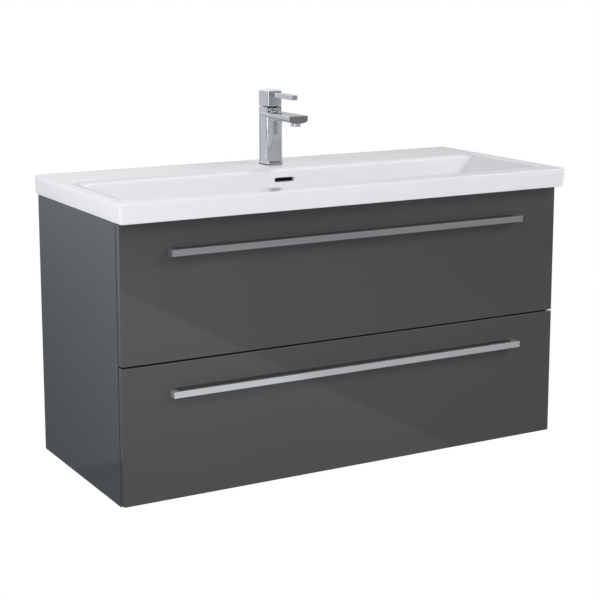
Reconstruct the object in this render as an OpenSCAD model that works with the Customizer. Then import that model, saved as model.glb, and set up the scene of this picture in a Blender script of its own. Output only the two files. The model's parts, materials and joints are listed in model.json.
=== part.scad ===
// Wall-hung bathroom vanity: two-drawer carcass, ceramic washbasin, lever tap, waste and trap.
// Millimetres. X along the wall, -Y out into the room, +Z up. The wall is the plane y = 0,
// z = 0 is the underside of the carcass, x = 0 is the middle of the cabinet.

/* [Carcass] */
// Outside width of the carcass
cabinet_width = 988; // [980:1:996]
// Height of the side panels
cabinet_height = 538; // [536:1:542]
// Depth of the side panels from the wall
carcass_depth = 403; // [400:1:408]
// Board thickness of the carcass
board = 16; // [16:1:18]
// Width of the strip that stiffens the front between the drawers
middle_rail_width = 80; // [60:1:90]
// Height of the two boards across the back
rear_rail_height = 100; // [80:1:100]
// Free space between the wall and the back boards
rear_rail_gap = 12; // [11:1:14]

/* [Drawer fronts] */
// Thickness of a drawer front
front_board = 16; // [16:1:19]
// Gap between the carcass edge and the back of a front
front_clearance = 2; // [2:0.1:3]
// Height of each front
front_height = 264; // [262:1:264]
// How far the lower front sits above the carcass underside
front_raise = 4; // [3:0.5:5]
// Joint between the two fronts
front_joint = 3; // [3:0.1:4]

/* [Handles] */
// Length of a handle
handle_length = 796; // [600:1:800]
// Height of the bar seen from the front
handle_height = 12; // [10:1:14]
// Thickness of the bar
handle_bar = 7; // [6:0.5:8]
// How far the bar stands out from the front
handle_reach = 18; // [17:0.5:20]
// From the top edge of a front down to the handle
handle_drop = 52; // [50:1:56]

/* [Drawers] */
// Width of a ball-bearing slide
slide_space = 13; // [13:0.1:13.4]
// Length of the slides
slide_length = 350; // [320:1:350]
// Height of the hollow steel sides
side_height = 88; // [86:1:92]
// Width of the hollow steel sides
side_width = 13; // [12:0.5:14]
// Half the width of the cut-out around the trap
cutout_half = 105; // [95:1:110]

/* [Washbasin] */
// Overall width of the basin
basin_width = 1003; // [998:1:1008]
// Overall depth of the basin
basin_depth = 446; // [444:1:450]
// Height of the visible edge
apron = 39; // [38:0.5:41]
// Half the width of the bowl at the rim
bowl_half = 476; // [470:1:478]
// Front edge of the bowl at the rim, from the wall
bowl_front = 398; // [394:1:400]
// Rear edge of the bowl at the rim, from the wall
bowl_rear = 150; // [148:1:152]
// Depth of the bowl
bowl_depth = 100; // [96:1:102]

/* [Tap] */
// Distance of the tap from the wall
tap_y = 78; // [76:1:80]
// Side of the rounded square column
tap_side = 42; // [42:0.5:43]
// Height of the column over the deck
tap_column = 122; // [120:1:123]
// Reach of the spout from the middle of the column
spout_reach = 123; // [110:1:125]
// Reach of the lever from the middle of the column
lever_reach = 106; // [90:1:108]

/* [Part] */
// Which piece to draw

/* [Hidden] */
$fn = 48;
e = 0.01;
xo = cabinet_width / 2;
xi = xo - board;
yb = -(carcass_depth + front_clearance);     // back face of the fronts
yf = yb - front_board;                       // visible face of the fronts
zl = front_raise;                            // lower front
zu = front_raise + front_height + front_joint; // upper front
zt = cabinet_height;
zr = zt + apron;                             // rim of the basin
bz_low = 23;                                 // underside of the lower drawer board
bz_up = 289;                                 // underside of the upper drawer board
xs = xi - slide_space;                       // outer face of the steel sides
xw = xs - side_width;                        // inner face of the steel sides
ys0 = -(carcass_depth - 0.5);                // front end of the steel sides
ys1 = ys0 + slide_length;                    // rear end
yback = -78;                                 // front face of the drawer back
drain_y = -262;
floor_z = zr - bowl_depth;
deck_t = 15;
tb = -tap_y;
cap_z = zr + tap_column + 2;
slide_z = [bz_low + 43, bz_up + 43];
handle_z = [zl + front_height - handle_drop - handle_height, zu + front_height - handle_drop - handle_height];

// ---------- helpers ----------
module block(a, b) translate(a) cube([b[0] - a[0], b[1] - a[1], b[2] - a[2]]);
module both() { children(); mirror([1, 0, 0]) children(); }
module rod_x(x0, x1, y, z, r) translate([x0, y, z]) rotate([0, 90, 0]) cylinder(r = r, h = x1 - x0);
module rod_y(x, y0, y1, z, r) translate([x, y0, z]) rotate([-90, 0, 0]) cylinder(r = r, h = y1 - y0);
module tube_z(x, y, z0, z1, ro, ri) translate([x, y, z0]) difference() {
  cylinder(r = ro, h = z1 - z0, $fn = 64);
  translate([0, 0, -1]) cylinder(r = ri, h = z1 - z0 + 2, $fn = 64);
}
module round_square(s, r) {
  square([s, s - 2 * r], center = true);
  square([s - 2 * r, s], center = true);
  for (x = [-1, 1], y = [-1, 1]) translate([x * (s / 2 - r), y * (s / 2 - r)]) circle(r = r, $fn = 32);
}
// a thin slab with rounded corners, used as one level of a hull
module level(x, y0, y1, r, z) translate([0, 0, z]) hull()
  for (sx = [-1, 1], yy = [y0 + r, y1 - r]) translate([sx * (x - r), yy, 0]) cylinder(r = r, h = e, $fn = 32);

// ---------- carcass ----------
cam_h = [[-60, board / 2], [-345, board / 2]];            // y, z along the bottom panel
dowel_h = [[-120, board / 2], [-285, board / 2]];
rail_z = 262 + board / 2;
rail_y0 = -(carcass_depth - 3);
ry = -(rear_rail_gap + board / 2);                        // middle of the back boards
module bolts_x(rb, rd, x0, x1) {
  // cam bolts and dowels for the right-hand joints, from x0 inside the board to x1 in the side
  for (p = cam_h) rod_x(x0, x1, p[0], p[1], rb);
  rod_x(x0, x1, rail_y0 + 22, rail_z, rb);
  rod_x(x0, x1, ry, zt - 34, rb);
  rod_x(x0, x1, ry, board + 22, rb);
}
module pegs_x(r, x0, x1) {
  for (p = dowel_h) rod_x(x0, x1, p[0], p[1], r);
  rod_x(x0, x1, rail_y0 + 58, rail_z, r);
  rod_x(x0, x1, ry, zt - 74, r);
  rod_x(x0, x1, ry, board + 66, r);
}
module side_holes() {
  bolts_x(3.05, 4, xi - 1, xi + 11);
  pegs_x(4.05, xi - 1, xi + 12);
  for (z = slide_z, y = [-360, -200, -90]) rod_x(xi - 1, xi + 11.2, y, z, 2.55);
}
module right_panel_shape() difference() {
  block([xi, -carcass_depth, 0], [xo, 0, zt]);
  side_holes();
}
module left_side_panel() color("#5b6064") mirror([1, 0, 0]) right_panel_shape();
module right_side_panel() color("#5b6064") right_panel_shape();
module end_holes() both() {
  bolts_x(3.05, 4, xi - 40, xi + 1);
  pegs_x(4.05, xi - 22, xi + 1);
}
module bottom_panel() color("#5b6064") difference() {
  block([-xi, rail_y0, 0], [xi, 0, board]);
  end_holes();
  both() for (p = cam_h) translate([xi - 34, p[0], 2]) cylinder(r = 7.6, h = board);
}
module middle_rail() color("#5b6064") difference() {
  block([-xi, rail_y0, 262], [xi, rail_y0 + middle_rail_width, 262 + board]);
  end_holes();
  both() translate([xi - 34, rail_y0 + 22, 262 - 2]) cylinder(r = 7.6, h = board);
}
module rear_board(z0) block([-xi, -(rear_rail_gap + board), z0], [xi, -rear_rail_gap, z0 + rear_rail_height]);
module rear_top_rail() color("#8d8f90") difference() {
  rear_board(zt - rear_rail_height);
  end_holes();
  both() rod_y(xi - 34, -(rear_rail_gap + board) - 1, -rear_rail_gap - 2, zt - 34, 7.6);
  both() block([458, -40, zt - 22], [472, -5, zt - 9]);
}
module rear_bottom_rail() color("#8d8f90") difference() {
  rear_board(board);
  end_holes();
  both() rod_y(xi - 34, -(rear_rail_gap + board) - 1, -rear_rail_gap - 2, board + 22, 7.6);
}
module cam_fittings() color("#a9abad") both() {
  bolts_x(3, 3, xi - 26.2, xi + 10.8);
  for (p = cam_h) translate([xi - 34, p[0], 2.2]) cylinder(r = 7.5, h = 12.5);
  translate([xi - 34, rail_y0 + 22, 262 + 1.3]) cylinder(r = 7.5, h = 12.5);
  rod_y(xi - 34, -(rear_rail_gap + board) + 0.8, -rear_rail_gap - 2.2, zt - 34, 7.5);
  rod_y(xi - 34, -(rear_rail_gap + board) + 0.8, -rear_rail_gap - 2.2, board + 22, 7.5);
}
module dowels() color("#c8a878") both() pegs_x(4, xi - 21.5, xi + 11.5);
module front_buffers() color("#d8dadb") both()
  for (z = [24, 246, 292, 516]) rod_y(xo - 8, -(carcass_depth + front_clearance - 0.1), -carcass_depth, z, 4);

// ---------- wall hanging ----------
hook_top = zt - 13;
module hanger_housings() color("#b9bbbc") both() difference() {
  block([xi - 24, -70, zt - 66], [xi - 0.05, -(rear_rail_gap + board) - 0.2, zt - 4]);
  block([xi - 20, -60, zt - 30], [xi - 5, -20, hook_top + 4]);
  rod_y(xi - 12, -71, -60, zt - 45, 3);
}
module hanger_hooks() color("#b4b6b8") both() {
  block([xi - 14.5, -58, hook_top - 6], [xi - 11.5, -4, hook_top]);
  block([xi - 14.5, -6.6, hook_top - 14], [xi - 11.5, -4, hook_top - 6 + e]);
}
plate_top = hook_top - 6;
module wall_plates() color("#b4b6b8") both() difference() {
  union() {
    block([xi - 68, -2.5, zt - 72], [xi - 3, 0, plate_top - 8]);
    block([xi - 68, -9.2, plate_top - 10], [xi - 3, 0, plate_top - 8]);
    block([xi - 68, -9.2, plate_top - 10], [xi - 3, -7.2, plate_top]);
  }
  for (z = [zt - 62, zt - 38]) rod_y(xi - 38, -12, 1, z, 3.5);
}

// ---------- slides ----------
// One channel per member, drawn for the right-hand side at height z
module rail_fixed(z, y) {
  block([xi - 1.2, y, z - 17.5], [xi - 0.02, y + slide_length, z + 17.5]);
  for (f = [z - 17.5, z + 16.3]) block([xi - 11.8, y, f], [xi - 0.02, y + slide_length, f + 1.2]);
}
module rail_mid(z, y) {
  block([xi - 7, y, z - 15.8], [xi - 5.8, y + slide_length, z + 15.8]);
  for (f = [z - 15.8, z + 14.6]) block([xi - 10.5, y, f], [xi - 2.4, y + slide_length, f + 1.2]);
}
module rail_inner(z, y) {
  block([xs + 0.02, y, z - 12.5], [xs + 1.4, y + slide_length, z + 12.5]);
  for (f = [z - 12.5, z + 11.3]) block([xs + 0.02, y, f], [xs + 5.2, y + slide_length, f + 1.2]);
}
module rail_screw_holes(z) for (y = [-360, -200, -90]) rod_x(xi - 3, xi + 1, y, z, 2.6);
module slide_rails() color("#c9cccd") both() for (z = slide_z) difference() {
  rail_fixed(z, ys0 + 3);
  rail_screw_holes(z);
}
module slide_screws() color("#d5d7d8") both() for (z = slide_z, y = [-360, -200, -90]) {
  rod_x(xi - 2.6, xi - 1.22, y, z, 4);
  rod_x(xi - 1.25, xi + 11, y, z, 2.5);
}
module soft_close_units() color("#3a3c3e") both() for (z = slide_z) {
  block([xi - 11.5, -182, z + 19], [xi - 0.05, -72, z + 34]);
  rod_y(xi - 6, -196, -182 + e, z + 26.5, 2.2);
}
module upper_mid_slides() color("#c2c5c7") both() rail_mid(slide_z[1], ys0 + 3);
module lower_mid_slides() color("#c2c5c7") both() rail_mid(slide_z[0], ys0 + 3);

// ---------- drawers ----------
module front_board_shape(z, hz) difference() {
  block([-xo, yf, z], [xo, yb, z + front_height]);
  both() rod_y(handle_length / 2 - 6, yf - 1, yb + 1, hz, 2.1);
}
module upper_front() color("#4c4f51") front_board_shape(zu, handle_z[1] + handle_height / 2);
module lower_front() color("#4c4f51") front_board_shape(zl, handle_z[0] + handle_height / 2);

module handle_shape(z) difference() {
  union() {
    block([-handle_length / 2, yf - handle_reach, z],
          [handle_length / 2, yf - handle_reach + handle_bar, z + handle_height]);
    both() block([handle_length / 2 - 12, yf - handle_reach + 1, z],
                 [handle_length / 2, yf, z + handle_height]);
  }
  both() rod_y(handle_length / 2 - 6, yf - 9, yf + 1, z + handle_height / 2, 2.1);
}
module upper_handle() color("#b9bcbf") handle_shape(handle_z[1]);
module lower_handle() color("#b9bcbf") handle_shape(handle_z[0]);
module handle_screws_shape(z) both() {
  rod_y(handle_length / 2 - 6, yf - 8, yb + 0.02, z + handle_height / 2, 2);
  rod_y(handle_length / 2 - 6, yb + 0.02 - e, yb + 2.5, z + handle_height / 2, 4.2);
}
module upper_handle_screws() color("#c9ccce") handle_screws_shape(handle_z[1]);
module lower_handle_screws() color("#c9ccce") handle_screws_shape(handle_z[0]);

// right-hand hollow steel side: outer skin, cap, inner skin and the ledge under the board
module steel_side(z) {
  block([xs - 1, ys0 + 1, z - 1.2], [xs, ys1, z + side_height]);
  block([xw, ys0 + 1, z + side_height - 1], [xs, ys1, z + side_height]);
  block([xw, ys0 + 1, z + 16.1], [xw + 1, ys1, z + side_height]);
  block([xw - 14, ys0 + 1, z - 1.2], [xs, ys1, z - 0.1]);
}
module upper_left_side() color("#9da1a4") mirror([1, 0, 0]) steel_side(bz_up);
module upper_right_side() color("#9da1a4") steel_side(bz_up);
module lower_left_side() color("#9da1a4") mirror([1, 0, 0]) steel_side(bz_low);
module lower_right_side() color("#9da1a4") steel_side(bz_low);

cut_y = -318;
module upper_bottom() color("#a3a6a8") difference() {
  block([-(xs - 1.1), ys0 + 1, bz_up], [xs - 1.1, yback + 16, bz_up + 16]);
  block([-(cutout_half + 3.1), cut_y - 3.1, bz_up - 1], [cutout_half + 3.1, 0, bz_up + 17]);
}
module lower_bottom() color("#a3a6a8")
  block([-(xs - 1.1), ys0 + 1, bz_low], [xs - 1.1, yback + 16, bz_low + 16]);
module upper_back() color("#a3a6a8") both()
  block([cutout_half + 3.1, yback, bz_up + 16.05], [xw - 0.1, yback + 16, bz_up + 136]);
module lower_back() color("#a3a6a8")
  block([-(xw - 0.1), yback, bz_low + 16.05], [xw - 0.1, yback + 16, bz_low + 176]);
module siphon_surround() color("#8f9395") difference() {
  block([-(cutout_half + 3), cut_y - 3, bz_up], [cutout_half + 3, yback + 16, bz_up + 136]);
  block([-cutout_half, cut_y, bz_up - 1], [cutout_half, 0, bz_up + 137]);
}
module rods(z) both() for (h = z) rod_y(xw - 7, yb + 0.05, yback - 0.05, h, 5);
module upper_rods() color("#b6b9bb") rods([bz_up + 126]);
module lower_rods() color("#b6b9bb") rods([bz_low + 126, bz_low + 166]);
module bracket_shape(z) {
  block([xw - 12, yb + 0.02, z + 18], [xs + 2, yb + 2.2, z + 106]);
  block([xw + 2.5, yb + 2, z + 22], [xs - 2.5, yb + 36, z + 80]);
}
module upper_brackets() color("#c2c5c7") both() bracket_shape(bz_up);
module lower_brackets() color("#c2c5c7") both() bracket_shape(bz_low);
module upper_runners() color("#c9cccd") both() rail_inner(slide_z[1], ys0 + 3);
module lower_runners() color("#c9cccd") both() rail_inner(slide_z[0], ys0 + 3);

// ---------- washbasin ----------
bh = bowl_half;
by1 = -bowl_rear;
by0 = -bowl_front;
module bowl_space() hull() {
  level(bh + 1, by0 - 1, by1 + 4, 22, zr + 1);
  level(bh - 48, by0 + 14, by1 - 8, 34, zr - 40);
  level(bh - 140, by0 + 32, by1 - 30, 44, zr - 80);
  level(bh - 210, by0 + 60, by1 - 56, 34, floor_z);
}
module bowl_shell() hull() {
  level(bh - 6, by0 - 4, by1 + 11, 28, zr - 15);
  level(bh - 35, by0 + 2, by1 + 4, 42, zr - 42);
  level(bh - 126, by0 + 20, by1 - 20, 52, zr - 88);
  level(bh - 200, by0 + 50, by1 - 48, 40, floor_z - 13);
}
module rim_block() hull() {
  level(basin_width / 2 - 2, -(basin_depth - 3), 0, 6, zt);
  level(basin_width / 2, -basin_depth, 0, 6, zr - 5);
  level(basin_width / 2 - 1.2, -(basin_depth - 1.2), -1, 5.5, zr - 1.5);
  level(basin_width / 2 - 4, -(basin_depth - 4), -4, 5, zr - e);
}
module side_x(h, p) translate([-h, 0, 0]) rotate([90, 0, 90]) linear_extrude(2 * h) polygon(p);
module washbasin() color("#eef0f2") difference() {
  union() {
    difference() {
      rim_block();
      block([-(basin_width / 2 - 15), -(basin_depth - 16), zt - 1], [basin_width / 2 - 15, -14, zr - deck_t]);
    }
    bowl_shell();
    translate([0, drain_y, floor_z - 27]) cylinder(r = 38, h = 26, $fn = 64);
    side_x(32, [[-152, zr - 14], [-128, zr - 14], [-130, zr - 48], [-152, zr - 98],
                [-188, floor_z - 27], [drain_y, floor_z - 27], [drain_y, floor_z - 6],
                [-206, floor_z - 4], [-180, zr - 84], [-158, zr - 42]]);
  }
  bowl_space();
  side_x(25, [[-151, zr - 20], [-137, zr - 20], [-139, zr - 48], [-161, zr - 94],
              [-192, floor_z - 20], [-250, floor_z - 20], [-250, floor_z - 11],
              [-203, floor_z - 11], [-174, zr - 86], [-151, zr - 44]]);
  block([-19.5, -170, zr - 29], [19.5, -145, zr - 20]);
  for (s = [-1, 1]) rod_y(s * 19.5, -170, -145, zr - 24.5, 4.5);
  translate([0, drain_y, floor_z - 40]) cylinder(r = 22.2, h = 60, $fn = 64);
  translate([0, tb, zr - 30]) cylinder(r = 17.5, h = 40, $fn = 64);
}

// ---------- waste and trap ----------
module waste_body() color("#d9dbdd") translate([0, drain_y, 0]) difference() {
  union() {
    translate([0, 0, floor_z + 0.05]) cylinder(r = 32, h = 3, $fn = 64);
    translate([0, 0, floor_z - 58]) cylinder(r = 22, h = 59, $fn = 64);
  }
  translate([0, 0, floor_z - 6]) cylinder(r = 20, h = 12, $fn = 64);
  translate([0, 0, floor_z - 60]) cylinder(r = 17, h = 34, $fn = 64);
  difference() {
    translate([0, 0, floor_z - 28]) cylinder(r = 18.5, h = 24, $fn = 64);
    translate([0, 0, floor_z - 22]) cylinder(r = 7, h = 6);
    for (a = [0, 120, 240]) rotate(a) translate([0, -1.5, floor_z - 22]) cube([19, 3, 6]);
  }
  translate([0, 0, floor_z - 30]) cylinder(r = 4.1, h = 30);
  block([-10, 12, floor_z - 19], [10, 26, floor_z - 12]);
}
module waste_gasket() color("#26282a") tube_z(0, drain_y, floor_z - 30, floor_z - 27.05, 34, 22.1);
module waste_nut() color("#d0d2d4") translate([0, drain_y, floor_z - 39]) difference() {
  cylinder(r = 34, h = 8.9, $fn = 6);
  translate([0, 0, -1]) cylinder(r = 22.1, h = 12, $fn = 64);
}
module waste_plug() color("#e2e4e6") translate([0, drain_y, 0]) {
  translate([0, 0, floor_z + 3.15]) cylinder(r = 31, h = 2.4, $fn = 64);
  translate([0, 0, floor_z + 5.54]) cylinder(r1 = 31, r2 = 26, h = 1.4, $fn = 64);
  translate([0, 0, floor_z + 6.93]) cylinder(r1 = 26, r2 = 12, h = 1, $fn = 64);
  translate([0, 0, floor_z - 2]) cylinder(r = 19, h = 5.5, $fn = 64);
  translate([0, 0, floor_z - 34]) cylinder(r = 4, h = 33);
}
pipe_z = floor_z - 99;
module trap_tailpiece() color("#d9dbdd") tube_z(0, drain_y, floor_z - 156, floor_z - 34, 16, 14.6);
module trap_head() color("#d9dbdd") difference() {
  union() {
    translate([0, drain_y, pipe_z - 20]) cylinder(r = 28, h = 43, $fn = 64);
    rod_y(0, drain_y + 20, drain_y + 50, pipe_z, 19.5, $fn = 64);
  }
  translate([0, drain_y, pipe_z - 21]) cylinder(r = 25, h = 41, $fn = 64);
  translate([0, drain_y, pipe_z]) cylinder(r = 16.1, h = 30, $fn = 64);
  rod_y(0, drain_y + 15, drain_y + 51, pipe_z, 16.1, $fn = 64);
}
module trap_cup() color("#d9dbdd") translate([0, drain_y, 0]) difference() {
  translate([0, 0, pipe_z - 80]) cylinder(r = 31.5, h = 58, $fn = 64);
  translate([0, 0, pipe_z - 77]) cylinder(r = 28.1, h = 60, $fn = 64);
}
module hex_ring(h, ro, ri) difference() {
  cylinder(r = ro, h = h, $fn = 8);
  translate([0, 0, -1]) cylinder(r = ri, h = h + 2, $fn = 64);
}
module trap_nuts() color("#cfd1d3") {
  translate([0, drain_y, floor_z - 73]) hex_ring(14.9, 25, 16.1);
  translate([0, drain_y, pipe_z + 23.1]) hex_ring(2.8, 25, 16.1);
  translate([0, drain_y + 50.1, pipe_z]) rotate([-90, 0, 0]) hex_ring(13, 23, 16.1);
}
module trap_outlet_pipe() color("#d9dbdd") difference() {
  union() {
    rod_y(0, drain_y + 28, drain_y + 64, pipe_z, 15.8, $fn = 64);  // slightly reduced inside the nut
    rod_y(0, drain_y + 63.5, 0, pipe_z, 16, $fn = 64);
  }
  rod_y(0, drain_y + 27, 1, pipe_z, 14.6, $fn = 64);
}

// ---------- tap ----------
spout_z = zr + tap_column - 11;                // top of the spout
module tap_body() color("#c4c7ca") difference() {
  union() {
    translate([0, tb, zr + 1]) linear_extrude(tap_column - 1) round_square(tap_side, 9.5);
    translate([0, tb, zr + 1]) linear_extrude(4) round_square(tap_side + 1.6, 10);
    side_x(22.5, [[tb, spout_z], [tb - spout_reach, spout_z], [tb - spout_reach, spout_z - 12],
                  [tb - spout_reach + 5, spout_z - 15], [tb - 60, spout_z - 12.5], [tb - 18, spout_z - 9.5],
                  [tb, spout_z - 9.5]]);
  }
  // cartridge seat, notch in front of it, water way, aerator seat
  translate([0, tb, zr + 74]) cylinder(r = 13, h = 60);
  translate([0, tb, spout_z + 3.2]) cylinder(r = 16.6, h = 20, $fn = 64);
  block([-16, tb - 40, spout_z + 0.02], [16, tb - 11, spout_z + 30]);
  rod_y(0, tb - spout_reach + 8, tb, spout_z - 6.5, 3.2);
  translate([0, tb - spout_reach + 13, spout_z - 25]) cylinder(r = 10.5, h = 20.5, $fn = 64);
  // hose inlets and fixing stud
  for (s = [-1, 1]) translate([s * 9, tb - 5, zr]) cylinder(r = 4.5, h = 15);
  for (s = [-1, 1]) translate([s * 6, tb - 3, zr + 12]) cylinder(r = 2.8, h = 64);
  translate([0, tb + 11, zr]) cylinder(r = 4.05, h = 19);
}
module tap_base_seal() color("#1f2022") translate([0, tb, zr + 0.02]) difference() {
  linear_extrude(0.96) round_square(tap_side, 9.5);
  translate([0, 0, -1]) cylinder(r = 17.6, h = 4, $fn = 64);
}
module tap_aerator() color("#d5d8da") translate([0, tb - spout_reach + 13, spout_z - 22]) difference() {
  cylinder(r = 10.4, h = 17.3, $fn = 64);
  translate([0, 0, -1]) cylinder(r = 8.4, h = 3, $fn = 64);
  for (a = [0 : 45 : 315]) rotate(a) translate([5.6, 0, -1]) cylinder(r = 1, h = 30, $fn = 16);
  for (a = [0 : 90 : 270]) rotate(a) translate([2.4, 0, -1]) cylinder(r = 1, h = 30, $fn = 16);
}
module tap_cartridge() color("#e9e9e4") translate([0, tb, 0]) difference() {
  translate([0, 0, zr + 74.1]) cylinder(r = 12.9, h = 39);
  translate([0, 0, zr + 100]) cylinder(r = 6.2, h = 30);
  for (s = [-1, 1]) translate([s * 6, -3, zr + 70]) cylinder(r = 2.8, h = 20);
}
cz = spout_z + 3.3;
module cartridge_cover() color("#b7babd") translate([0, tb, 0]) difference() {
  intersection() {
    translate([0, 0, cz]) cylinder(r = 16.4, h = 14, $fn = 64);
    translate([0, 0, cz - 8]) sphere(r = 20.5, $fn = 64);
  }
  translate([0, 0, cz - 1]) cylinder(r = 7, h = 30);
}
module cartridge_driver() color("#cfd1d2") translate([0, tb, zr + 101]) {
  cylinder(r = 6, h = 30);
  translate([-4, -4, 30 - e]) cube([8, 8, 4]);
}
module tap_lever() color("#c4c7ca") difference() {
  union() {
    intersection() {
      translate([0, tb, cap_z]) linear_extrude(36) round_square(tap_side, 9.5);
      translate([0, tb, cap_z + 35.4 - 120]) sphere(r = 120, $fn = 128);
    }
    block([-6.5, tb - lever_reach, cap_z + 20.5], [6.5, tb - 12, cap_z + 29]);
  }
  translate([0, tb, cap_z - 1]) cylinder(r = 17.8, h = 18, $fn = 64);
}
module tap_stud() color("#c9cbcd") translate([0, tb + 11, zr - 48]) cylinder(r = 4, h = 66);
module tap_bracket() color("#bfc1c3") translate([0, tb, zr - deck_t - 3.1]) difference() {
  cylinder(r = 25, h = 3, $fn = 64);
  block([-15.5, -30, -1], [15.5, 5.5, 4]);
  translate([0, 11, -1]) cylinder(r = 4.2, h = 5);
}
module tap_nut() color("#d2b36a") translate([0, tb + 11, zr - deck_t - 15.2]) difference() {
  cylinder(r = 6.5, h = 12, $fn = 6);
  translate([0, 0, -1]) cylinder(r = 4.05, h = 14);
}

left_side_panel();
right_side_panel();
bottom_panel();
middle_rail();
rear_top_rail();
rear_bottom_rail();
cam_fittings();
dowels();
front_buffers();
hanger_housings();
hanger_hooks();
wall_plates();
slide_rails();
slide_screws();
soft_close_units();
upper_mid_slides();
lower_mid_slides();
upper_front();
upper_handle();
upper_handle_screws();
upper_left_side();
upper_right_side();
upper_bottom();
upper_back();
siphon_surround();
upper_rods();
upper_brackets();
upper_runners();
lower_front();
lower_handle();
lower_handle_screws();
lower_left_side();
lower_right_side();
lower_bottom();
lower_back();
lower_rods();
lower_brackets();
lower_runners();
washbasin();
waste_body();
waste_gasket();
waste_nut();
waste_plug();
trap_tailpiece();
trap_head();
trap_cup();
trap_nuts();
trap_outlet_pipe();
tap_body();
tap_base_seal();
tap_aerator();
tap_cartridge();
cartridge_cover();
cartridge_driver();
tap_lever();
tap_stud();
tap_bracket();
tap_nut();
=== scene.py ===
"""Looks of the wall-hung bathroom vanity. Metres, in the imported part's own frame:
x along the wall, -y out into the room, z up, wall at y = 0, underside of the carcass at z = 0."""

import json
import math

import bmesh
import bpy
import numpy as np
from mathutils import Matrix, Vector


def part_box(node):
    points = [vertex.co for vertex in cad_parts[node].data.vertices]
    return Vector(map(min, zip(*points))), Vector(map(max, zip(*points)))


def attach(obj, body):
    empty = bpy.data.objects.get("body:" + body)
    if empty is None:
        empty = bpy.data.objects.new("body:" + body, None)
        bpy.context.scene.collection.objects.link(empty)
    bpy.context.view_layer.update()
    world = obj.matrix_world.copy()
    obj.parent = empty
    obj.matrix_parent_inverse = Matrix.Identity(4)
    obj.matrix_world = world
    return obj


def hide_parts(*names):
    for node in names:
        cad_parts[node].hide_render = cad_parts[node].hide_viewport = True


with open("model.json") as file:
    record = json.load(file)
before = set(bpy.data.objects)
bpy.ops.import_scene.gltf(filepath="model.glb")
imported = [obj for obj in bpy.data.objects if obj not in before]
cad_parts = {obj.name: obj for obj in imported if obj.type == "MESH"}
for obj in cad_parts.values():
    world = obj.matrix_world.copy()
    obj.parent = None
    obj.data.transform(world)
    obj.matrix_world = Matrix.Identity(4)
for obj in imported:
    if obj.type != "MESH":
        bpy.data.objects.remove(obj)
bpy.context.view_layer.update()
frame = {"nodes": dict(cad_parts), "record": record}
NODES = frame["nodes"]
BODY = {n: b for b, ns in frame["record"]["behaviour"]["bodies"].items() for n in ns}
SLOT = {s["node"]: s["material_slot"] for s in frame["record"]["subparts"]}
MM = 0.001


# ------------------------------------------------------------------ materials
NOISE_LOW, NOISE_HIGH = 0.3, 0.7    # nearly all values of a noise lie between these


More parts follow.
